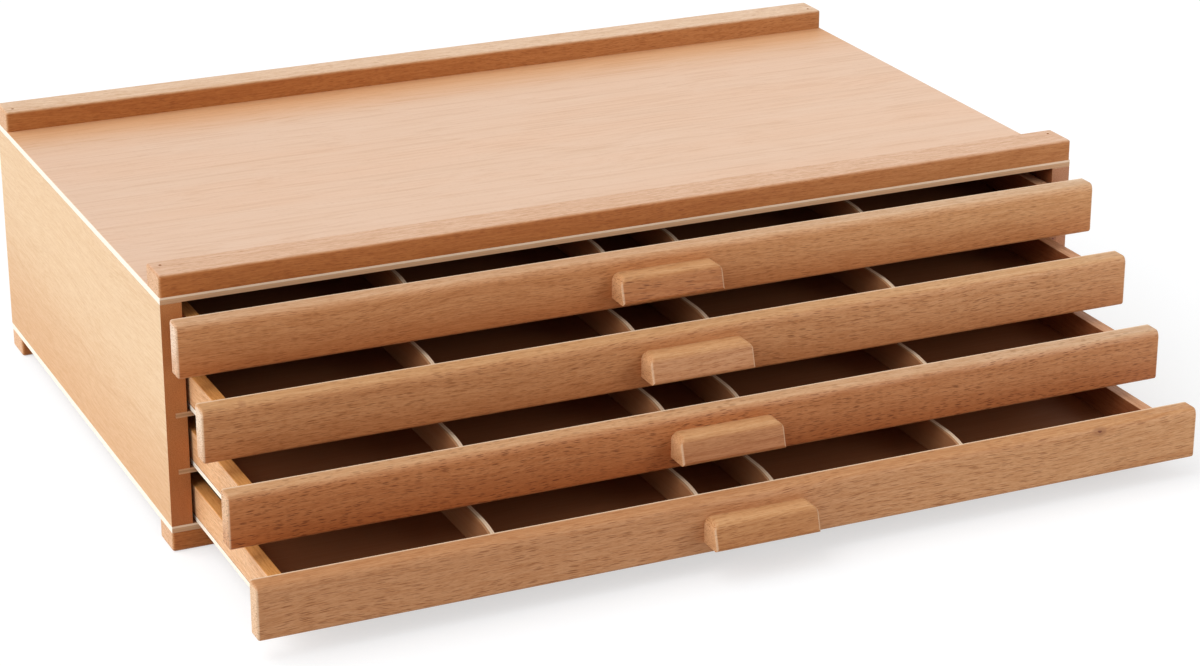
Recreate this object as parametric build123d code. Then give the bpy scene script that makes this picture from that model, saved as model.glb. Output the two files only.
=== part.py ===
from build123d import *
import math
import os

# A beech drawer box for pencils: a low case holding four shallow drawers, one above
# the other, each with an overlaid front, a wooden pull and four plywood dividers.
# Millimetres, +Z up. The drawers open towards -Y. The origin is the centre of the
# front foot's underside. Drawer 1 is the top one. The drawers stand part open.

# Case: two solid sides between a plywood top and bottom.
CASE_WIDTH = 400.0
CASE_DEPTH = 240.0
SIDE_HEIGHT = 91.4
SIDE_THICKNESS = 8.5
PANEL_THICKNESS = 2.8
BACK_THICKNESS = 2.8
SHELF_THICKNESS = 2.0
HOUSING_DEPTH = 4.6        # how far the shelves and the back are let into the sides

# Bars along the long edges of the top and the bottom.
RAIL_HEIGHT = 8.8
RAIL_DEPTH = 16.5
RAIL_ROUND = 1.1
FOOT_HEIGHT = 8.0
FOOT_DEPTH = 16.0
FOOT_ROUND = 1.1
BAR_CORNER = 1.3           # rounding of the bars' upright corners

# Pins that hold the bars and the back to the sides.
PIN_RADIUS = 0.6
PIN_SINK = 0.4             # depth of a pin's head below the face
PIN_BITE = 12.0            # length of pin in a side panel
PIN_SETBACK = 11.5         # from the case's front or rear face
PIN_CLEARANCE = 0.05

# Drawers.
DRAWER_COUNT = 4
DRAWER_SIDE_HEIGHT = 12.6
DRAWER_SIDE_THICKNESS = 5.5
DRAWER_BACK_THICKNESS = 5.5
DRAWER_BOTTOM_THICKNESS = 2.2
RUNNING_CLEARANCE = 0.2    # between a drawer and the shelf it slides on
SIDE_CLEARANCE = 1.5       # between a drawer and the case, at each side
REAR_CLEARANCE = 6.2       # between a shut drawer and the case's back
FRONT_THICKNESS = 8.0
FRONT_GAP = 1.95           # between one front and the next
FRONT_DROP = 2.0           # how far a front hangs below the shelf's level
FRONT_CROWN_HEIGHT = 3.2   # the face curves back to the top over this height
FRONT_CROWN_DEPTH = 2.3
FRONT_EASING = 1.2         # rounding of a front's ends and its lower edge

# How far each front stands off the case, top drawer first.
DRAWER_OPENINGS = (11.0, 38.5, 65.5, 95.0)

# Dividers: an inner and an outer pair, each with its front corner rounded down. The
# outer pair halves what the middle compartment leaves at each side.
DIVIDER_THICKNESS = 2.7
MIDDLE_COMPARTMENT = 29.9
DIVIDER_ROUND = 50.0
DIVIDER_ROUND_RUN = 24.0   # length of the rounding along the top edge

# Pulls: blocks that grow deeper towards the bottom.
PULL_WIDTH = 44.5
PULL_HEIGHT = 10.5
PULL_TOP_DEPTH = 8.2
PULL_BOTTOM_DEPTH = 11.4
PULL_ROUND = 3.2           # rounding of the top's outer edges
PULL_EASING = 1.3          # rounding of the face's lower edge and uprights
PULL_RISE = 5.0            # from the front's lower edge to the pull's

# Two countersunk screws hold each pull from inside the drawer.
SCREW_SPACING = 24.0
SCREW_RADIUS = 1.3
SCREW_HEAD_RADIUS = 2.6
SCREW_HEAD_HEIGHT = 1.8
SCREW_BITE = 6.5           # length of screw in the pull
SCREW_CLEARANCE = 0.05
SLOT_WIDTH = 0.7
SLOT_DEPTH = 0.8

# Levels and lines that follow from the sizes above.
FLOOR_Z = FOOT_HEIGHT + PANEL_THICKNESS
CEILING_Z = FLOOR_Z + SIDE_HEIGHT
TOP_Z = CEILING_Z + PANEL_THICKNESS
RAIL_TOP_Z = TOP_Z + RAIL_HEIGHT
BAY_PITCH = (SIDE_HEIGHT + SHELF_THICKNESS) / DRAWER_COUNT
FRONT_HEIGHT = BAY_PITCH - FRONT_GAP
FRONT_Y = -FOOT_DEPTH / 2
REAR_Y = FRONT_Y + CASE_DEPTH
BACK_Y = REAR_Y - BACK_THICKNESS
OUTER_X = CASE_WIDTH / 2
INNER_X = OUTER_X - SIDE_THICKNESS
HOUSED_X = INNER_X + HOUSING_DEPTH
BOX_X = INNER_X - SIDE_CLEARANCE
BOX_INNER_X = BOX_X - DRAWER_SIDE_THICKNESS
BOX_LENGTH = CASE_DEPTH - BACK_THICKNESS - REAR_CLEARANCE
INNER_DIVIDER_X = (MIDDLE_COMPARTMENT + DIVIDER_THICKNESS) / 2
OUTER_DIVIDER_X = (MIDDLE_COMPARTMENT / 2 + DIVIDER_THICKNESS + BOX_INNER_X) / 2
SIDES = {"left": -1, "right": 1}


def block(x, y, z):
    """A box from its two limits along each of X, Y and Z."""
    lows, highs = zip(*(sorted(span) for span in (x, y, z)))
    size = [high - low for low, high in zip(lows, highs)]
    return Pos(*lows) * Box(*size, align=(Align.MIN,) * 3)


def rod(start, direction, length, radius):
    """A round rod that starts at a point."""
    stock = Cylinder(radius, length, align=(Align.CENTER, Align.CENTER, Align.MIN))
    return Plane(origin=start, z_dir=direction) * stock


def edges_at(shape, axis, place):
    """The edges of a shape that lie in the plane at one place along an axis."""
    return shape.edges().filter_by_position(axis, place, place)


def save(shape, name):
    export_step(shape, f"parts/{name}.step")


# ---- pins --------------------------------------------------------------------------


def bar_pins(face_z, bar_height, radius, sink):
    """Upright rods through both bars on one face of the case, into the sides."""
    inward = 1 if face_z < FLOOR_Z else -1
    length = bar_height + PANEL_THICKNESS + PIN_BITE - sink
    start_z = face_z + inward * sink
    pin_x = OUTER_X - SIDE_THICKNESS / 2
    return [
        rod((side * pin_x, y, start_z), (0, 0, inward), length, radius)
        for side in SIDES.values()
        for y in (FRONT_Y + PIN_SETBACK, REAR_Y - PIN_SETBACK)
    ]


def rail_pins(radius, sink=0.0):
    return bar_pins(RAIL_TOP_Z, RAIL_HEIGHT, radius, sink)


def foot_pins(radius, sink=0.0):
    return bar_pins(0, FOOT_HEIGHT, radius, sink)


def back_pins(radius, sink=0.0):
    """Level rods through the back into the sides, one to a bay at each end."""
    pin_x = INNER_X + HOUSING_DEPTH / 2
    length = BACK_THICKNESS + PIN_BITE - sink
    return [
        rod((side * pin_x, REAR_Y - sink, bay_middle(number)), (0, -1, 0), length, radius)
        for side in SIDES.values()
        for number in range(1, DRAWER_COUNT + 1)
    ]


def drilled(shape, *pin_sets):
    """A piece with a hole wherever one of the pins passes through it."""
    for pins in pin_sets:
        shape = shape - pins(PIN_RADIUS + PIN_CLEARANCE)
    return shape


# ---- case --------------------------------------------------------------------------


def bay_floor(number):
    """Level of the surface that a drawer slides on."""
    return FLOOR_Z + (DRAWER_COUNT - number) * BAY_PITCH


def bay_middle(number):
    return bay_floor(number) + (BAY_PITCH - SHELF_THICKNESS) / 2


def shelf_levels(number):
    """The underside and the top of the shelf that a drawer slides on."""
    return bay_floor(number) - SHELF_THICKNESS, bay_floor(number)


def side_panel(side):
    """A side with a housing for each shelf and a rebate for the back."""
    panel = block((side * INNER_X, side * OUTER_X), (FRONT_Y, REAR_Y), (FLOOR_Z, CEILING_Z))
    housed = (side * INNER_X, side * HOUSED_X)
    panel -= block(housed, (BACK_Y, REAR_Y), (FLOOR_Z, CEILING_Z))
    for number in range(1, DRAWER_COUNT):
        panel -= block(housed, (FRONT_Y, BACK_Y), shelf_levels(number))
    return drilled(panel, rail_pins, foot_pins, back_pins)


def shelf(number):
    """The thin floor between two bays, housed in both sides."""
    return block((-HOUSED_X, HOUSED_X), (FRONT_Y, BACK_Y), shelf_levels(number))


def back_panel():
    panel = block((-HOUSED_X, HOUSED_X), (BACK_Y, REAR_Y), (FLOOR_Z, CEILING_Z))
    return drilled(panel, back_pins)


def flat_panel(low_z, pins):
    """The top or the bottom: a sheet as large as the case."""
    panel = block((-OUTER_X, OUTER_X), (FRONT_Y, REAR_Y), (low_z, low_z + PANEL_THICKNESS))
    return drilled(panel, pins)


def bar(y, z, outer_z, rounding, pins):
    """A full-width bar, rounded at its upright corners and round its outer face."""
    stick = block((-OUTER_X, OUTER_X), y, z)
    stick = fillet(stick.edges().filter_by(Axis.Z), BAR_CORNER)
    stick = fillet(edges_at(stick, Axis.Z, outer_z), min(rounding, 0.9 * BAR_CORNER))
    return drilled(stick, pins)


def rail(y):
    return bar(y, (TOP_Z, RAIL_TOP_Z), RAIL_TOP_Z, RAIL_ROUND, rail_pins)


def foot(y):
    return bar(y, (0, FOOT_HEIGHT), 0, FOOT_ROUND, foot_pins)


def build_case():
    for name, side in SIDES.items():
        save(side_panel(side), f"{name}_side_panel")
    save(flat_panel(CEILING_Z, rail_pins), "top_panel")
    save(flat_panel(FOOT_HEIGHT, foot_pins), "bottom_panel")
    save(back_panel(), "back_panel")
    for number in range(1, DRAWER_COUNT):
        save(shelf(number), f"drawer_{number}_shelf")
    save(rail((FRONT_Y, FRONT_Y + RAIL_DEPTH)), "front_rail")
    save(rail((REAR_Y - RAIL_DEPTH, REAR_Y)), "rear_rail")
    save(foot((FRONT_Y, FRONT_Y + FOOT_DEPTH)), "front_foot")
    save(foot((REAR_Y - FOOT_DEPTH, REAR_Y)), "rear_foot")
    save(Compound(rail_pins(PIN_RADIUS, PIN_SINK)), "rail_pins")
    save(Compound(foot_pins(PIN_RADIUS, PIN_SINK)), "foot_pins")
    save(Compound(back_pins(PIN_RADIUS, PIN_SINK)), "back_pins")


# ---- drawers -----------------------------------------------------------------------


def front_y(number):
    """Where a drawer's front meets its box."""
    return FRONT_Y - DRAWER_OPENINGS[number - 1]


def front_bottom(number):
    return bay_floor(number) - FRONT_DROP


def pull_bottom(number):
    return front_bottom(number) + PULL_RISE


def box_levels(number):
    """Underside of a drawer's bottom, the bottom's upper face and the sides' top."""
    under = bay_floor(number) + RUNNING_CLEARANCE
    floor = under + DRAWER_BOTTOM_THICKNESS
    return under, floor, floor + DRAWER_SIDE_HEIGHT


def pull_screws(number, gap=0.0):
    """The pull's two screws, or with a gap the holes that they sit in."""
    y = front_y(number)
    z = pull_bottom(number) + PULL_HEIGHT / 2
    length = FRONT_THICKNESS + SCREW_BITE
    profile = Polyline(
        (0, 0),
        (SCREW_HEAD_RADIUS + gap, 0),
        (SCREW_RADIUS + gap, SCREW_HEAD_HEIGHT),
        (SCREW_RADIUS + gap, length),
        (0, length),
        close=True,
    )
    screw = revolve(make_face(Plane.XZ * profile), Axis.Z)
    return [
        Plane(origin=(x, y, z), z_dir=(0, -1, 0)) * screw
        for x in (-SCREW_SPACING / 2, SCREW_SPACING / 2)
    ]


def slotted_screws(number):
    """The screws with a straight slot across each head."""
    y = front_y(number)
    z = pull_bottom(number) + PULL_HEIGHT / 2
    slots = block(
        (-SCREW_SPACING, SCREW_SPACING),
        (y - SLOT_DEPTH, y),
        (z - SLOT_WIDTH / 2, z + SLOT_WIDTH / 2),
    )
    return Compound([screw - slots for screw in pull_screws(number)])


def drawer_front(number):
    """An overlaid front whose face curves back to its top, with eased ends."""
    y = front_y(number)
    low = front_bottom(number)
    face_y = y - FRONT_THICKNESS
    high = low + FRONT_HEIGHT
    crown_y = face_y + FRONT_CROWN_DEPTH
    crown_z = high - FRONT_CROWN_HEIGHT
    crown = EllipticalCenterArc(
        (crown_y, crown_z), FRONT_CROWN_DEPTH, FRONT_CROWN_HEIGHT, start_angle=90, arc_size=90
    )
    rest = Polyline((face_y, crown_z), (face_y, low), (y, low), (y, high), (crown_y, high))
    board = extrude(make_face(Plane.YZ * (crown + rest)), OUTER_X, both=True)
    ends = edges_at(board, Axis.X, -OUTER_X) + edges_at(board, Axis.X, OUTER_X)
    lower = edges_at(board, Axis.Z, low).filter_by(Axis.X).sort_by(Axis.Y)[0]
    board = fillet(ends + [lower], FRONT_EASING)
    return board - pull_screws(number, SCREW_CLEARANCE)


def pull(number):
    """A block with a sloping face, rounded round its top and eased round its face."""
    y = front_y(number) - FRONT_THICKNESS
    low = pull_bottom(number)
    section = Polyline(
        (y, low),
        (y - PULL_BOTTOM_DEPTH, low),
        (y - PULL_TOP_DEPTH, low + PULL_HEIGHT),
        (y, low + PULL_HEIGHT),
        close=True,
    )
    stock = extrude(make_face(Plane.YZ * section), PULL_WIDTH / 2, both=True)
    top = stock.faces().sort_by(Axis.Z)[-1]
    against = stock.faces().sort_by(Axis.Y)[-1]
    stock = fillet([e for e in top.edges() if e not in against.edges()], PULL_ROUND)
    face = stock.faces().sort_by(Axis.Y)[0]
    lower_and_uprights = face.edges().sort_by(Axis.Z)[:3]
    stock = fillet(lower_and_uprights, PULL_EASING)
    return stock - pull_screws(number, SCREW_CLEARANCE)


def divider(number, x):
    """A strip across the drawer whose front corner is rounded down."""
    front = front_y(number)
    back = front + BOX_LENGTH - DRAWER_BACK_THICKNESS
    _, floor, top = box_levels(number)
    run = min(DIVIDER_ROUND_RUN, DIVIDER_ROUND)
    drop = DIVIDER_ROUND - math.sqrt(DIVIDER_ROUND**2 - run**2)
    corner = TangentArc((front + run, top), (front, top - drop), tangent=(-1, 0))
    rest = Polyline(
        (front, top - drop),
        (front, floor),
        (back, floor),
        (back, top),
        (front + run, top),
    )
    strip = extrude(make_face(Plane.YZ * (corner + rest)), DIVIDER_THICKNESS / 2, both=True)
    return Pos(x, 0, 0) * strip


def build_drawer(number):
    front = front_y(number)
    rear = front + BOX_LENGTH
    under, floor, top = box_levels(number)
    name = f"drawer_{number}"
    save(drawer_front(number), f"{name}_front")
    save(pull(number), f"{name}_pull")
    save(slotted_screws(number), f"{name}_pull_screws")
    save(block((-BOX_X, BOX_X), (front, rear), (under, floor)), f"{name}_bottom")
    for side_name, side in SIDES.items():
        x = (side * BOX_INNER_X, side * BOX_X)
        save(block(x, (front, rear), (floor, top)), f"{name}_{side_name}_side")
    back = (rear - DRAWER_BACK_THICKNESS, rear)
    save(block((-BOX_INNER_X, BOX_INNER_X), back, (floor, top)), f"{name}_back")
    divider_lines = (-OUTER_DIVIDER_X, -INNER_DIVIDER_X, INNER_DIVIDER_X, OUTER_DIVIDER_X)
    for place, x in enumerate(divider_lines, 1):
        save(divider(number, x), f"{name}_divider_{place}")


os.makedirs("parts", exist_ok=True)
build_case()
for number in range(1, DRAWER_COUNT + 1):
    build_drawer(number)
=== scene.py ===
import math

import bmesh
import bpy
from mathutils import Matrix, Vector


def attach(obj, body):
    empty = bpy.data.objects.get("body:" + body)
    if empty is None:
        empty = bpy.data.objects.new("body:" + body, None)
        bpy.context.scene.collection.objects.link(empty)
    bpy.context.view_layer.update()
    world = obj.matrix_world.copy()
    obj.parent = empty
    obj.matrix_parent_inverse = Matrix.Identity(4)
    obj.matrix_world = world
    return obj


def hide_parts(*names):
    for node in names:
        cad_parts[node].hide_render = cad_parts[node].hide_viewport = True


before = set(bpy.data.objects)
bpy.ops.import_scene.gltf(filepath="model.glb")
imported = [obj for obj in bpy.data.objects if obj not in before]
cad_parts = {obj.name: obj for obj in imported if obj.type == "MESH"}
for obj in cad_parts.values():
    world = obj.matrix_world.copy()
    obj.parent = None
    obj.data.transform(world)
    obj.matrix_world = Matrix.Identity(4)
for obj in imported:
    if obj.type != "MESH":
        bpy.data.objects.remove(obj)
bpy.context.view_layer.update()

# Metres and the CAD's frame: +Z up, the drawers open towards -Y. Beech and birch
# plywood are made in solid texture space, so every face of a board belongs to the
# same piece of wood, and a board's pattern follows it when its drawer moves.

DRAWERS = (1, 2, 3, 4)
DIVIDERS = (1, 2, 3, 4)

# Widths of the sanded edges.
SHEET_EASE = 0.0002
PANEL_EASE = 0.0003
BOX_EASE = 0.0004


# ---- node graph helper -------------------------------------------------------------


class Graph:
    """The nodes of a material or a world, written as nested calls."""

    def __init__(self, owner):
        owner.use_nodes = True
        self.owner = owner
        self.tree = owner.node_tree
        self.tree.nodes.clear()

    def add(self, kind, inputs=None, **settings):
        node = self.tree.nodes.new(kind)
        for key, value in settings.items():
            setattr(node, key, value)
        for key, value in (inputs or {}).items():
            self.feed(node.inputs[key], value)
        return node

    def feed(self, socket, value):
        if isinstance(value, bpy.types.NodeSocket):
            self.tree.links.new(value, socket)
        else:
            socket.default_value = value

    def math(self, operation, a, b=0.0):
        node = self.add("ShaderNodeMath", operation=operation)
        self.feed(node.inputs[0], a)
        self.feed(node.inputs[1], b)
        return node.outputs[0]

    def ramp(self, value, low, high, to_low=0.0, to_high=1.0):
        """A smooth step from one value to another."""
        inputs = {
            "Value": value,
            "From Min": low,
            "From Max": high,
            "To Min": to_low,
            "To Max": to_high,
        }
        node = self.add("ShaderNodeMapRange", inputs, interpolation_type="SMOOTHSTEP")
        return node.outputs[0]

    def mix(self, factor, a, b, blend="MIX"):
        node = self.add("ShaderNodeMix", data_type="RGBA", blend_type=blend)
        self.feed(node.inputs["Factor"], factor)
        for name, value in (("A", a), ("B", b)):
            socket = [s for s in node.inputs if s.name == name and s.type == "RGBA"][0]
            self.feed(socket, value)
        return [s for s in node.outputs if s.type == "RGBA"][0]

    def split(self, vector):
        return self.add("ShaderNodeSeparateXYZ", {"Vector": vector}).outputs

    def join(self, x, y, z):
        return self.add("ShaderNodeCombineXYZ", {"X": x, "Y": y, "Z": z}).outputs[0]

    def coordinates(self, kind):
        """The three parts of a texture coordinate."""
        return self.split(self.add("ShaderNodeTexCoord").outputs[kind])

    def scaled(self, parts, sizes):
        """Coordinates divided by a size along each axis."""
        return self.join(*(self.math("DIVIDE", part, size) for part, size in zip(parts, sizes)))

    def noise(self, vector, detail=2.0, roughness=0.5, scale=1.0):
        inputs = {
            "Vector": vector,
            "Scale": scale,
            "Detail": detail,
            "Roughness": roughness,
        }
        return self.add("ShaderNodeTexNoise", inputs).outputs["Fac"]

    def cells(self, vector):
        """Distance to the nearest cell's middle, and that cell's random colour."""
        node = self.add("ShaderNodeTexVoronoi", {"Vector": vector, "Scale": 1.0})
        return node.outputs["Distance"], node.outputs["Color"]


def material_graph(name):
    return Graph(bpy.data.materials.new(name))


def rgb(red, green, blue):
    """A display colour from 0 to 255 as scene-linear RGBA."""

    def linear(value):
        value /= 255
        return value / 12.92 if value <= 0.04045 else ((value + 0.055) / 1.055) ** 2.4

    return (linear(red), linear(green), linear(blue), 1.0)


def shade(colour, factor):
    return tuple(channel * factor for channel in colour[:3]) + (1.0,)


# ---- wood --------------------------------------------------------------------------

# Sizes of the patterns in mm, along the grain, along the rays and along the rings.
SEED_OFFSETS = (137.0, 61.0, 29.0)
SWAY_SIZE = (90.0, 45.0, 45.0)
SWAY_SHIFT = 9.0
BEECH_BROAD = (130.0, 22.0, 16.0)
BEECH_FIBRE = (14.0, 0.65, 0.65)
BEECH_PORES = (2.6, 0.30, 0.30)
BEECH_PATCH = (60.0, 30.0, 9.0)
BEECH_RING_LENGTH = 420.0
BEECH_RING_BOW = 900.0
LARGE_FLECK_DEPTH = 0.46
SMALL_FLECK_DEPTH = 0.36
PLY_BROAD = (210.0, 60.0, 34.0)
PLY_FIBRE = (34.0, 0.8, 0.8)
PLY_FLECK = (3.0, 3.4, 0.7)
PLY_CUT = (3.0, 3.0, 3.0)
PLY_LINE_LENGTH = 600.0
PLY_LINE_SIZE = 3.4
PLY_LINE_BOW = 2600.0

# What stains and painted shade multiply a colour by, in red, green and blue. The first and the
# third are painted shade: redder and darker towards a piece's lower edge, with painted bounce
# light, and towards the top's rear edge under the rear bar.
LOW_SHADE_TINT = (0.83, 0.64, 0.48)
END_STAIN = (0.72, 0.60, 0.50)
REAR_SHADE_TINT = (0.90, 0.71, 0.49)
GLUE_STAIN = (0.62, 0.46, 0.34)
PLY_FLECK_STAIN = (0.66, 0.50, 0.36)

# Roughness of smooth and of open fibres, and the powers that narrow facing().
BEECH_ROUGHNESS = (0.45, 0.57)
PLY_ROUGHNESS = (0.47, 0.58)
STEEL_ROUGHNESS = (0.32, 0.48)
FACING_POWERS = (2.4, 2.4, 1.5)

# X from where to where the painted shade at the left of a front or a bar turns into the painted
# light and sheen at its right.
LEFT_RIGHT_LIGHT_SPAN = (-0.05, 0.19)
# How soft the border of the painted inside shade is, in metres.
INSIDE_SHADE_FADE = 0.0005

# Shares of a piece's height and depth, and of a sheet's thickness from its middle.
# Of these, the first places the painted lower shade, the second the painted rear highlight and
# the third the painted rear shade.
LOW_SHADE_REACH = 0.70
REAR_HIGHLIGHT_START = 0.84
REAR_SHADE_STRIP = (0.74, 0.93)
GLUE_LINE = 0.17

# Colour of the painted highlights on rounded arrises.
ARRIS_HIGHLIGHT = rgb(248, 224, 194)


def grain_space(g, grain, seed):
    """Millimetres along the grain, along the rays and along the growth rings."""
    axes = dict(zip("XYZ", g.coordinates("Object")))
    mm = [
        g.math("ADD", g.math("MULTIPLY", axes[axis], 1000.0), seed * offset)
        for axis, offset in zip(grain, SEED_OFFSETS)
    ]
    sway = g.noise(g.scaled(mm, SWAY_SIZE), detail=1.0)
    shift = g.math("MULTIPLY", g.math("SUBTRACT", sway, 0.5), SWAY_SHIFT)
    return mm[0], g.math("ADD", mm[1], shift), g.math("ADD", mm[2], shift)


def flecks(g, place, cell, size, share):
    """Lens-shaped ends of the rays, in a share of the cells."""
    distance, colour = g.cells(g.scaled(place, cell))
    chance = g.split(colour)[0]
    lens = g.ramp(distance, size * 0.5, size, 1.0, 0.0)
    return g.math("MULTIPLY", lens, g.ramp(chance, 1.0 - share, 1.15 - share))


def stain_and_shade(g, amount, colour, multiplier):
    """A colour multiplied by the given factor, where the amount says: for stains and for
    painted shade.
    """
    return g.mix(amount, colour, g.mix(1.0, colour, multiplier + (1.0,), "MULTIPLY"))


def layered(g, colour, layers):
    """A colour under several stains. A layer holds a pattern, the two of its levels
    between which the stain comes up, how strong it gets and the stain."""
    for pattern, low, high, strength, multiplier in layers:
        amount = g.math("MULTIPLY", g.ramp(pattern, low, high), strength)
        colour = stain_and_shade(g, amount, colour, multiplier)
    return colour


def facing(g):
    """How squarely a surface faces each axis, from 0 to 1."""
    return [
        g.math("POWER", g.math("ABSOLUTE", part), power)
        for part, power in zip(g.coordinates("Normal"), FACING_POWERS)
    ]


def wood(
    name,
    grain,
    faces,
    seed,
    fleck=0.5,
    tint=0.55,
    length=4.6,
    ray_size=2.2,
    streak=0.5,
    ring_size=7.0,
    figure=1.0,
    low_shade=0.0,
    shaded_inner=None,
    inner_edge=0.198,
    left=None,
    right=None,
    ends_on_top=1.0,
    edge=0.0,
    rear_highlight=0.0,
    marks=(),
):
    """Beech. grain orders the axes: along the grain, along the rays, along the rings.
    faces are the colours of the faces square to X, Y and Z; they differ in part as end grain
    does and in part by painted light and shade, tops and lit ends paler than fronts.

    fleck, streak and figure say how strong the ray flecks, the rings and the fibres
    are. length and ray_size are the size of a fleck, and tint is how pale it stays.
    warm says how much redder and darker the piece gets towards its lower edge: painted
    shade and bounce light. inner is the colour of the faces square to X that are nearer
    the middle than inner_edge: painted shade on the insides. left and right paint shade
    towards the board's left end and light and sheen towards its right end, on its top by the
    share ends_on_top. edge paints a pale highlight on its upright arrises, and arris one along
    its upper rear edge. marks are knots."""
    g = material_graph(name)
    place = grain_space(g, grain, seed)
    along, ray, ring = place
    square = facing(g)
    share = g.coordinates("Generated")

    # Painted light and shade in part: each face takes the colour given for its axis.
    base = g.mix(square[0], faces[1], faces[0])
    base = g.mix(square[2], base, faces[2])
    # Painted shade: the inside faces of the boards, square to X and nearer the middle than
    # inner_edge, turn darker.
    if shaded_inner:
        off_middle = g.math("ABSOLUTE", g.coordinates("Object")[0])
        within = g.ramp(off_middle, inner_edge + INSIDE_SHADE_FADE, inner_edge - INSIDE_SHADE_FADE)
        sideways = g.ramp(square[0], 0.3, 0.6)
        base = g.mix(g.math("MULTIPLY", within, sideways), base, shaded_inner)
    # Painted shade towards the left end, painted light and sheen towards the right end.
    if left:
        across = g.ramp(g.coordinates("Object")[0], *LEFT_RIGHT_LIGHT_SPAN)
        multiplier = g.mix(across, left + (1.0,), right + (1.0,))
        not_end = g.math("SUBTRACT", 1.0, square[0])
        where = g.math("MULTIPLY", not_end, g.ramp(square[2], 0.2, 0.9, 1.0, ends_on_top))
        base = g.mix(where, base, g.mix(1.0, base, multiplier, "MULTIPLY"))
    # Painted shade and bounce light: redder and darker towards the lower edge.
    if low_shade:
        base = stain_and_shade(g, g.ramp(share[2], LOW_SHADE_REACH, 0.0, 0.0, low_shade), base, LOW_SHADE_TINT)

    bow = g.math("DIVIDE", g.math("MULTIPLY", ring, ring), BEECH_RING_BOW)
    depth = g.math("DIVIDE", g.math("ADD", ray, bow), ring_size)
    drawn_out = g.math("DIVIDE", along, BEECH_RING_LENGTH)
    rings = g.noise(g.join(drawn_out, depth, 0.0), detail=3.0, roughness=0.62)
    broad = g.noise(g.scaled(place, BEECH_BROAD), detail=2.0, roughness=0.5)
    fibre = g.noise(g.scaled(place, BEECH_FIBRE), detail=3.0, roughness=0.62)
    pores = g.noise(g.scaled(place, BEECH_PORES), detail=2.0, roughness=0.6)
    layers = (
        (rings, 0.50, 0.72, streak, (0.82, 0.70, 0.58)),
        (broad, 0.50, 0.72, 0.30 * streak, (1.12, 1.16, 1.20)),
        (fibre, 0.36, 0.66, figure, (0.86, 0.78, 0.69)),
        (pores, 0.46, 0.66, 0.7 * figure, (0.84, 0.74, 0.63)),
    )
    colour = layered(g, base, layers)

    cell = (length, ray_size, LARGE_FLECK_DEPTH)
    large = flecks(g, place, cell, size=0.40, share=0.78)
    cell = (0.6 * length, 0.7 * ray_size, SMALL_FLECK_DEPTH)
    small = flecks(g, place, cell, size=0.34, share=0.75)
    patch = g.ramp(g.noise(g.scaled(place, BEECH_PATCH), detail=1.0), 0.30, 0.60, 0.55, 1.0)
    strong = g.math("MULTIPLY", large, patch)
    rays = g.math("MAXIMUM", strong, g.math("MULTIPLY", small, 0.45))
    calm = g.ramp(square[2], 0.3, 0.8, fleck, 0.4 * fleck)
    amount = g.math("MULTIPLY", rays, calm)
    colour = stain_and_shade(g, amount, colour, (tint, tint * 0.70, tint * 0.42))

    # Painted highlight on the rounded upright arrises.
    if edge:
        bend = g.math("MULTIPLY", square[0], square[1])
        colour = g.mix(g.ramp(bend, 0.02, 0.16, 0.0, edge), colour, ARRIS_HIGHLIGHT)
    # Painted highlight on the top along its rear edge.
    if rear_highlight:
        behind = g.ramp(share[1], REAR_HIGHLIGHT_START, 1.0, 0.0, rear_highlight)
        colour = g.mix(g.math("MULTIPLY", behind, square[2]), colour, ARRIS_HIGHLIGHT)
    ends = square["XYZ".index(grain[0])]
    hollow = g.math("MULTIPLY", ends, g.ramp(pores, 0.46, 0.60))
    colour = stain_and_shade(g, g.math("MULTIPLY", hollow, 0.5), colour, END_STAIN)
    for middle, radii, ink in marks:
        colour = mark(g, colour, middle, radii, ink)

    relief = g.math("SUBTRACT", g.math("MULTIPLY", fibre, 0.5), rays)
    sheen = g.ramp(fibre, 0.3, 0.7, *BEECH_ROUGHNESS)
    return satin(g, colour, sheen, relief, strength=0.16)


def mark(g, colour, middle, radii, ink):
    """A small knot or blemish: a dark heart in a fainter ring."""
    away = [
        g.math("DIVIDE", g.math("SUBTRACT", part, at), radius)
        for part, at, radius in zip(g.coordinates("Object"), middle, radii)
    ]
    span = g.add("ShaderNodeVectorMath", {0: g.join(*away)}, operation="LENGTH")
    wobble = g.math("MULTIPLY", g.noise(g.join(*away), detail=1.0, scale=1.4), 0.5)
    distance = g.math("ADD", span.outputs["Value"], wobble)
    heart = g.ramp(distance, 0.35, 0.75, 1.0, 0.0)
    halo = g.math("MULTIPLY", g.ramp(distance, 0.9, 1.6, 1.0, 0.0), 0.35)
    return g.mix(g.math("MAXIMUM", heart, halo), colour, ink)


def satin(g, colour, roughness, relief, strength):
    """Bare wood under a thin clear satin coat."""
    bump = g.add(
        "ShaderNodeBump",
        {"Strength": strength, "Distance": 0.0002, "Height": relief},
    )
    inputs = {
        "Base Color": colour,
        "Roughness": roughness,
        "Specular IOR Level": 0.28,
        "Normal": bump.outputs[0],
    }
    shader = g.add("ShaderNodeBsdfPrincipled", inputs)
    g.add("ShaderNodeOutputMaterial", {"Surface": shader.outputs[0]})
    return g.owner


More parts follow.
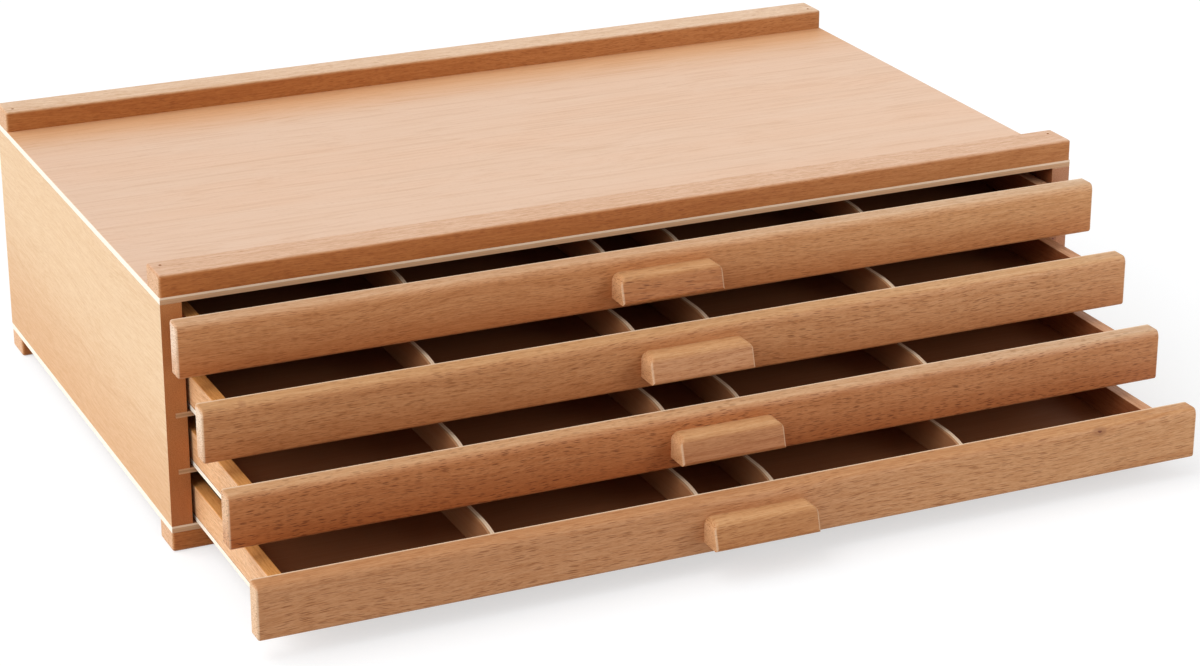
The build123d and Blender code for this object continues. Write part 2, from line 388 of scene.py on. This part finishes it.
def plywood(name, grain, thin, faces, cut, seed, streak=0.5, rear=0.0):
    """Three-ply sheet. thin is the axis across the sheet and faces its veneers' colour
    on the low and the high side, the darker one on sides that face into the case or a
    drawer: painted shade. cut holds the colours of the cut edges: of edges square to X,
    paler in part by painted light, then of the others' veneers, upper one first, and of their
    core. rear says how much darker and redder the colour gets towards the rear edge: painted
    shade under the rear bar."""
    g = material_graph(name)
    place = grain_space(g, grain, seed)
    along, ray, ring = place
    share = g.coordinates("Generated")
    level = share["XYZ".index(thin)]
    normal = g.coordinates("Normal")["XYZ".index(thin)]
    # The darker side colour, on sides that face an inside, is painted shade.
    veneer = g.mix(g.ramp(normal, -0.2, 0.2), faces[0], faces[1])

    bow = g.math("DIVIDE", g.math("MULTIPLY", ring, ring), PLY_LINE_BOW)
    lines = g.math("ADD", g.math("DIVIDE", ring, PLY_LINE_SIZE), bow)
    drawn_out = g.math("DIVIDE", along, PLY_LINE_LENGTH)
    figure = g.noise(g.join(drawn_out, lines, ray), detail=3.0, roughness=0.66)
    broad = g.noise(g.scaled(place, PLY_BROAD), detail=2.0, roughness=0.5)
    fibre = g.noise(g.scaled(place, PLY_FIBRE), detail=3.0, roughness=0.6)
    layers = (
        (figure, 0.46, 0.70, streak, (0.90, 0.83, 0.76)),
        (broad, 0.42, 0.66, 0.55 * streak, (1.01, 0.95, 0.90)),
        (fibre, 0.34, 0.70, 0.6, (0.95, 0.90, 0.85)),
    )
    colour = layered(g, veneer, layers)
    small = flecks(g, place, PLY_FLECK, size=0.33, share=0.45)
    colour = stain_and_shade(g, g.math("MULTIPLY", small, 0.2), colour, PLY_FLECK_STAIN)
    # Painted shade: darker and redder towards the rear edge, under the rear bar.
    if rear:
        strip = g.ramp(share[1], *REAR_SHADE_STRIP, 0.0, rear)
        colour = stain_and_shade(g, strip, colour, REAR_SHADE_TINT)

    ragged = g.noise(g.scaled(place, PLY_CUT), detail=2.0)
    height = g.math("ADD", level, g.math("MULTIPLY", g.math("SUBTRACT", ragged, 0.5), 0.10))
    off_core = g.math("ABSOLUTE", g.math("SUBTRACT", height, 0.5))
    skin = g.mix(g.ramp(level, 0.45, 0.55), cut[2], cut[1])
    edge = g.mix(g.ramp(off_core, 0.13, 0.20), cut[3], skin)
    off_glue = g.math("ABSOLUTE", g.math("SUBTRACT", off_core, GLUE_LINE))
    edge = stain_and_shade(g, g.ramp(off_glue, 0.0, 0.05, 0.5, 0.0), edge, GLUE_STAIN)
    # Cut edges square to X take their own colour, paler in part by painted light.
    edge = g.mix(facing(g)[0], edge, cut[0])
    edge = layered(g, edge, ((fibre, 0.45, 0.62, 0.35, (0.88, 0.82, 0.76)),))
    flat = g.ramp(g.math("ABSOLUTE", normal), 0.55, 0.85)
    colour = g.mix(flat, edge, colour)

    sheen = g.ramp(fibre, 0.3, 0.7, *PLY_ROUGHNESS)
    relief = g.math("SUBTRACT", g.math("MULTIPLY", fibre, 0.4), small)
    return satin(g, colour, sheen, relief, strength=0.10)


def steel(name, colour):
    """Plain drawn steel with fine turning marks."""
    g = material_graph(name)
    lines = g.noise(g.scaled(g.coordinates("Object"), (0.0012, 0.0012, 0.0002)))
    tone = g.mix(g.ramp(lines, 0.35, 0.65), shade(colour, 0.8), colour)
    bump = g.add("ShaderNodeBump", {"Strength": 0.1, "Distance": 0.0001, "Height": lines})
    inputs = {
        "Base Color": tone,
        "Metallic": 1.0,
        "Roughness": g.ramp(lines, 0.3, 0.7, *STEEL_ROUGHNESS),
        "Normal": bump.outputs[0],
    }
    shader = g.add("ShaderNodeBsdfPrincipled", inputs)
    g.add("ShaderNodeOutputMaterial", {"Surface": shader.outputs[0]})
    return g.owner


def paint(node, material):
    """Gives a CAD node a material."""
    for material_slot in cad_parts[node].material_slots:
        material_slot.material = material


# ---- eased pieces ------------------------------------------------------------------


def eased(node, body, width, material):
    """The CAD piece with its long sharp edges sanded off, in place of the CAD node."""
    mesh = bmesh.new()
    mesh.from_mesh(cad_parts[node].data)
    bmesh.ops.remove_doubles(mesh, verts=mesh.verts, dist=1e-6)
    bmesh.ops.dissolve_limit(
        mesh, angle_limit=math.radians(0.5), verts=mesh.verts, edges=mesh.edges
    )
    sharp = [
        edge
        for edge in mesh.edges
        if len(edge.link_faces) == 2
        and edge.calc_length() > 4 * width
        and edge.calc_face_angle(0.0) > math.radians(60)
    ]
    bmesh.ops.bevel(
        mesh,
        geom=sharp,
        offset=width,
        offset_type="OFFSET",
        segments=3,
        profile=0.5,
        affect="EDGES",
        clamp_overlap=True,
    )
    for face in mesh.faces:
        face.smooth = False
    name = f"{node}_eased"
    data = bpy.data.meshes.new(name)
    mesh.to_mesh(data)
    mesh.free()
    piece = bpy.data.objects.new(name, data)
    bpy.context.scene.collection.objects.link(piece)
    data.materials.append(material)
    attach(piece, body)
    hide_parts(node)


# ---- colours -----------------------------------------------------------------------

# Face colours. Tops, sides and ends are paler than fronts and front edges, in part the wood's
# own colour and in part painted light and shade.
PALE_TOP = rgb(229, 195, 169)
PALE_SIDE = rgb(234, 201, 161)
LEFT_EDGE = rgb(197, 131, 78)
# Painted light: the right side's front edge is paler than the left side's.
LIT_RIGHT_EDGE = rgb(192, 138, 104)
# Painted shade: ply faces inside the case and the drawers are darker.
SHADED_INSIDE_PLY = rgb(158, 104, 68)
DIVIDER_FACE = rgb(176, 124, 84)

# Cut ply edges. The near-white of edges square to X is in part painted light.
WHITE_LIT_CUT = rgb(255, 246, 230)
CREAM_CUT = rgb(240, 214, 186)
TAN_CUT = rgb(206, 164, 126)
PALE_CUTS = (WHITE_LIT_CUT, CREAM_CUT, TAN_CUT, TAN_CUT)
SHELF_CUTS = (TAN_CUT, TAN_CUT, TAN_CUT, rgb(186, 144, 104))
DIVIDER_CUTS = (TAN_CUT, CREAM_CUT, rgb(186, 138, 98), rgb(236, 212, 182))

BAR_END = rgb(234, 192, 154)
BAR_FRONT = rgb(196, 130, 76)
FRONT_BAR_TOP = rgb(227, 188, 159)
REAR_BAR_TOP = rgb(234, 202, 173)
PULL_END = rgb(226, 178, 134)
PULL_TOP = rgb(208, 159, 112)
BOX_SIDE = rgb(238, 190, 144)
# Painted shade on the faces inside the case sides and the drawer boxes.
SHADED_BOX_INSIDE = rgb(150, 90, 54)
LEFT_BOX_TOP = rgb(218, 156, 90)
RIGHT_BOX_TOP = rgb(226, 176, 138)

# Marks: middle, radii and colour.
SIDE_DOT = ((0.1936, -0.0080, 0.0704), (0.0017, 0.004, 0.0015), rgb(92, 34, 18))
FRONT_DOT = ((-0.1839, -0.0545, 0.0767), (0.0016, 0.004, 0.0013), rgb(140, 84, 50))
FRONT_KNOT = ((0.1536, -0.1110, 0.0280), (0.0032, 0.004, 0.0019), rgb(112, 58, 34))

# ---- the case ----------------------------------------------------------------------

SIDE_LOOKS = {
    "left": {
        "faces": (PALE_SIDE, LEFT_EDGE, PALE_SIDE),
        "streak": 0.22,
        "ring_size": 2.2,
        "low_shade": 0.75,
    },
    "right": {
        "faces": (PALE_SIDE, LIT_RIGHT_EDGE, PALE_SIDE),
        "streak": 0.6,
        "ring_size": 1.3,
        "marks": (SIDE_DOT,),
    },
}
# A bar's left and right are painted shade on the left and painted light and sheen on the right.
BAR_LOOKS = {
    "front": {
        "faces": (BAR_END, BAR_FRONT, FRONT_BAR_TOP),
        "seed": 5.2,
        "left": (0.88, 0.74, 0.54),
        "right": (0.94, 0.95, 0.94),
    },
    "rear": {
        "faces": (BAR_END, BAR_FRONT, REAR_BAR_TOP),
        "seed": 5.9,
        "left": (0.88, 0.80, 0.64),
        "right": (0.95, 1.0, 1.02),
    },
}

top_faces = (SHADED_INSIDE_PLY, PALE_TOP)
top_ply = plywood("top_ply", "XZY", "Z", top_faces, PALE_CUTS, seed=1.3, streak=0.8, rear=1.0)
case_ply = plywood("case_ply", "XZY", "Z", (PALE_TOP, SHADED_INSIDE_PLY), PALE_CUTS, seed=2.1)
back_ply = plywood("back_ply", "XYZ", "Y", (SHADED_INSIDE_PLY, PALE_SIDE), PALE_CUTS, seed=3.7)
shelf_ply = plywood("shelf_ply", "XZY", "Z", (SHADED_INSIDE_PLY, SHADED_INSIDE_PLY), SHELF_CUTS, seed=4.4)

eased("top_panel", "case", SHEET_EASE, top_ply)
eased("bottom_panel", "case", SHEET_EASE, case_ply)
eased("back_panel", "case", SHEET_EASE, back_ply)
for side, look in SIDE_LOOKS.items():
    side_wood = wood(
        f"{side}_side_beech",
        "YXZ",
        **look,
        seed=1.9,
        fleck=0.12,
        tint=0.70,
        length=6.0,
        figure=0.5,
        shaded_inner=SHADED_BOX_INSIDE,
    )
    eased(f"{side}_side_panel", "case", PANEL_EASE, side_wood)
for number in DRAWERS[:-1]:
    paint(f"drawer_{number}_shelf", shelf_ply)
for bar, look in BAR_LOOKS.items():
    bar_wood = wood(f"{bar}_bar_beech", "XYZ", **look, fleck=0.6, ends_on_top=0.1)
    paint(f"{bar}_rail", bar_wood)
    paint(f"{bar}_foot", bar_wood)

pin_steel = steel("pin_steel", rgb(96, 84, 74))
for node in ("rail_pins", "foot_pins", "back_pins"):
    paint(node, pin_steel)

# ---- the drawers -------------------------------------------------------------------

# One board each, so each front and pull has its own colour and figure. A front's
# faces are its end, its face and its top; its end and top are paler than its face, in part
# painted light.
# A front's left and right are painted shade on the left and painted light and sheen on the
# right.
FRONT_LOOKS = {
    1: {
        "faces": (rgb(250, 226, 204), rgb(217, 157, 106), rgb(229, 192, 158)),
        "fleck": 0.65,
        "streak": 0.45,
        "tint": 0.46,
        "length": 5.6,
        "low_shade": 0.95,
        "left": (0.87, 0.8, 0.73),
        "right": (0.96, 1.03, 1.08),
    },
    2: {
        "faces": (rgb(248, 226, 204), rgb(213, 152, 103), rgb(220, 172, 126)),
        "fleck": 0.8,
        "streak": 0.4,
        "tint": 0.42,
        "length": 5.6,
        "low_shade": 0.8,
        "left": (0.87, 0.85, 0.8),
        "right": (0.93, 1.0, 1.07),
        "marks": (FRONT_DOT,),
    },
    3: {
        "faces": (rgb(236, 198, 162), rgb(203, 136, 87), rgb(223, 181, 144)),
        "fleck": 1.0,
        "streak": 0.5,
        "tint": 0.36,
        "length": 5.0,
        "low_shade": 1.0,
        "left": (0.88, 0.82, 0.72),
        "right": (0.91, 0.98, 1.04),
    },
    4: {
        "faces": (rgb(240, 206, 172), rgb(209, 153, 106), rgb(204, 150, 103)),
        "fleck": 0.85,
        "streak": 0.7,
        "tint": 0.46,
        "length": 7.5,
        "left": (0.91, 0.89, 0.9),
        "right": (0.96, 1.01, 1.05),
        "marks": (FRONT_KNOT,),
    },
}
PULL_LOOKS = {
    1: {
        "faces": (PULL_END, rgb(181, 115, 64), PULL_TOP),
        "fleck": 1.0,
        "streak": 0.4,
        "tint": 0.38,
        "length": 7.0,
        "low_shade": 0.5,
    },
    2: {
        "faces": (PULL_END, rgb(195, 140, 98), PULL_TOP),
        "fleck": 0.7,
        "streak": 0.4,
        "tint": 0.55,
        "length": 5.6,
        "low_shade": 0.3,
    },
    3: {
        "faces": (PULL_END, rgb(176, 116, 72), PULL_TOP),
        "fleck": 0.6,
        "streak": 0.85,
        "tint": 0.52,
        "length": 5.6,
        "low_shade": 0.4,
    },
    4: {
        "faces": (PULL_END, rgb(184, 125, 74), PULL_TOP),
        "fleck": 0.75,
        "streak": 0.5,
        "tint": 0.5,
        "length": 5.6,
        "low_shade": 0.2,
    },
}

box_woods = {
    side: wood(
        f"{side}_box_side_beech",
        "YXZ",
        (BOX_SIDE, top, top),
        seed=7.1,
        fleck=0.45,
        tint=0.45,
        ray_size=0.8,
        streak=0.6,
        ring_size=2.4,
        shaded_inner=SHADED_BOX_INSIDE,
        inner_edge=0.187,
    )
    for side, top in (("left", LEFT_BOX_TOP), ("right", RIGHT_BOX_TOP))
}
# The back's faces square to Y take the painted inside shade.
back_faces = (BOX_SIDE, SHADED_BOX_INSIDE, LEFT_BOX_TOP)
box_back_wood = wood("box_back_beech", "XYZ", back_faces, seed=8.3)
floor_ply = plywood("drawer_floor_ply", "XZY", "Z", (PALE_TOP, SHADED_INSIDE_PLY), PALE_CUTS, seed=6.2)
divider_faces = (DIVIDER_FACE, DIVIDER_FACE)
divider_ply = plywood("divider_ply", "YXZ", "X", divider_faces, DIVIDER_CUTS, seed=9.4)
screw_steel = steel("screw_steel", rgb(190, 186, 178))

for number in DRAWERS:
    body = f"drawer_{number}"
    front_wood = wood(
        f"front_{number}_beech",
        "XYZ",
        **FRONT_LOOKS[number],
        seed=10.0 + 1.7 * number,
        edge=0.3,
        rear_highlight=0.8,
    )
    paint(f"{body}_front", front_wood)
    pull_wood = wood(
        f"pull_{number}_beech",
        "XYZ",
        **PULL_LOOKS[number],
        seed=20.0 + 2.3 * number,
        edge=0.32,
    )
    paint(f"{body}_pull", pull_wood)
    paint(f"{body}_pull_screws", screw_steel)
    eased(f"{body}_bottom", body, SHEET_EASE, floor_ply)
    for side, box_wood in box_woods.items():
        eased(f"{body}_{side}_side", body, BOX_EASE, box_wood)
    eased(f"{body}_back", body, BOX_EASE, box_back_wood)
    for divider in DIVIDERS:
        eased(f"{body}_divider_{divider}", body, PANEL_EASE, divider_ply)

# ---- stage, light and camera -------------------------------------------------------

WHITE = (1.0, 1.0, 1.0, 1.0)
FLOOR_BOUNCE = (0.62, 0.62, 0.62, 1.0)
FLOOR_TONE = (0.46, 0.47, 0.48, 1.0)
FLOOR_GLOW = 0.58
FLOOR_HALF = 6.0
FLOOR_LEVEL = -0.0001
SKY_LIGHT = 0.42
CAMERA_PLACE = (-0.5067, -1.0796, 0.5227)
CAMERA_DOWN = 21.382
CAMERA_RIGHT = 24.484


def seen_directly(g):
    """1 for rays from the camera, a reflection or a clear body, otherwise 0."""
    path = g.add("ShaderNodeLightPath").outputs
    reflected = g.math("MAXIMUM", path["Is Glossy Ray"], path["Is Transmission Ray"])
    return g.math("MAXIMUM", path["Is Camera Ray"], reflected)


def studio_floor():
    """A large sheet, white where it is seen and grey where it only lights the box."""
    g = material_graph("studio_floor")
    plain = g.add("ShaderNodeBsdfDiffuse", {"Color": FLOOR_BOUNCE})
    tone = g.add("ShaderNodeBsdfDiffuse", {"Color": FLOOR_TONE})
    glow = g.add("ShaderNodeEmission", {"Color": WHITE, "Strength": FLOOR_GLOW})
    white = g.add("ShaderNodeAddShader", {0: tone.outputs[0], 1: glow.outputs[0]})
    inputs = {0: seen_directly(g), 1: plain.outputs[0], 2: white.outputs[0]}
    both = g.add("ShaderNodeMixShader", inputs)
    g.add("ShaderNodeOutputMaterial", {"Surface": both.outputs[0]})
    data = bpy.data.meshes.new("floor")
    signs = ((-1, -1), (1, -1), (1, 1), (-1, 1))
    corners = [(x * FLOOR_HALF, y * FLOOR_HALF, FLOOR_LEVEL) for x, y in signs]
    data.from_pydata(corners, [], [(0, 1, 2, 3)])
    floor = bpy.data.objects.new("floor", data)
    bpy.context.scene.collection.objects.link(floor)
    data.materials.append(g.owner)


def studio_world():
    """White where it is seen, and a dimmer even light on the box."""
    world = bpy.data.worlds.new("studio")
    bpy.context.scene.world = world
    g = Graph(world)
    soft = g.add("ShaderNodeBackground", {"Color": WHITE, "Strength": SKY_LIGHT})
    white = g.add("ShaderNodeBackground", {"Color": WHITE, "Strength": 1.0})
    inputs = {0: seen_directly(g), 1: soft.outputs[0], 2: white.outputs[0]}
    both = g.add("ShaderNodeMixShader", inputs)
    g.add("ShaderNodeOutputWorld", {"Surface": both.outputs[0]})


def sun(name, towards, irradiance, spread):
    """A far soft lamp that shines along a direction."""
    data = bpy.data.lights.new(name, "SUN")
    data.energy = irradiance * math.pi
    data.angle = math.radians(spread)
    lamp = bpy.data.objects.new(name, data)
    lamp.rotation_euler = Vector(towards).to_track_quat("-Z", "Y").to_euler()
    bpy.context.scene.collection.objects.link(lamp)


def panel_lamp(name, place, target, size, power):
    """A square soft lamp that faces a point."""
    data = bpy.data.lights.new(name, "AREA")
    data.energy = power
    data.size = size
    lamp = bpy.data.objects.new(name, data)
    lamp.location = place
    lamp.rotation_euler = (Vector(target) - Vector(place)).to_track_quat("-Z", "Y").to_euler()
    bpy.context.scene.collection.objects.link(lamp)


def camera():
    data = bpy.data.cameras.new("camera")
    data.sensor_width = 36.0
    data.lens = 94.44
    data.clip_start = 0.05
    view = bpy.data.objects.new("camera", data)
    view.location = CAMERA_PLACE
    view.rotation_euler = (math.radians(90 - CAMERA_DOWN), 0.0, math.radians(-CAMERA_RIGHT))
    bpy.context.scene.collection.objects.link(view)
    bpy.context.scene.camera = view


studio_floor()
studio_world()
sun("key", towards=(0.75, -0.10, -0.68), irradiance=0.84, spread=80.0)
panel_lamp("fill", place=(0.75, -0.85, 0.35), target=(0.0, -0.05, 0.05), size=0.5, power=3.4)
camera()

bpy.context.scene.view_settings.view_transform = "Standard"
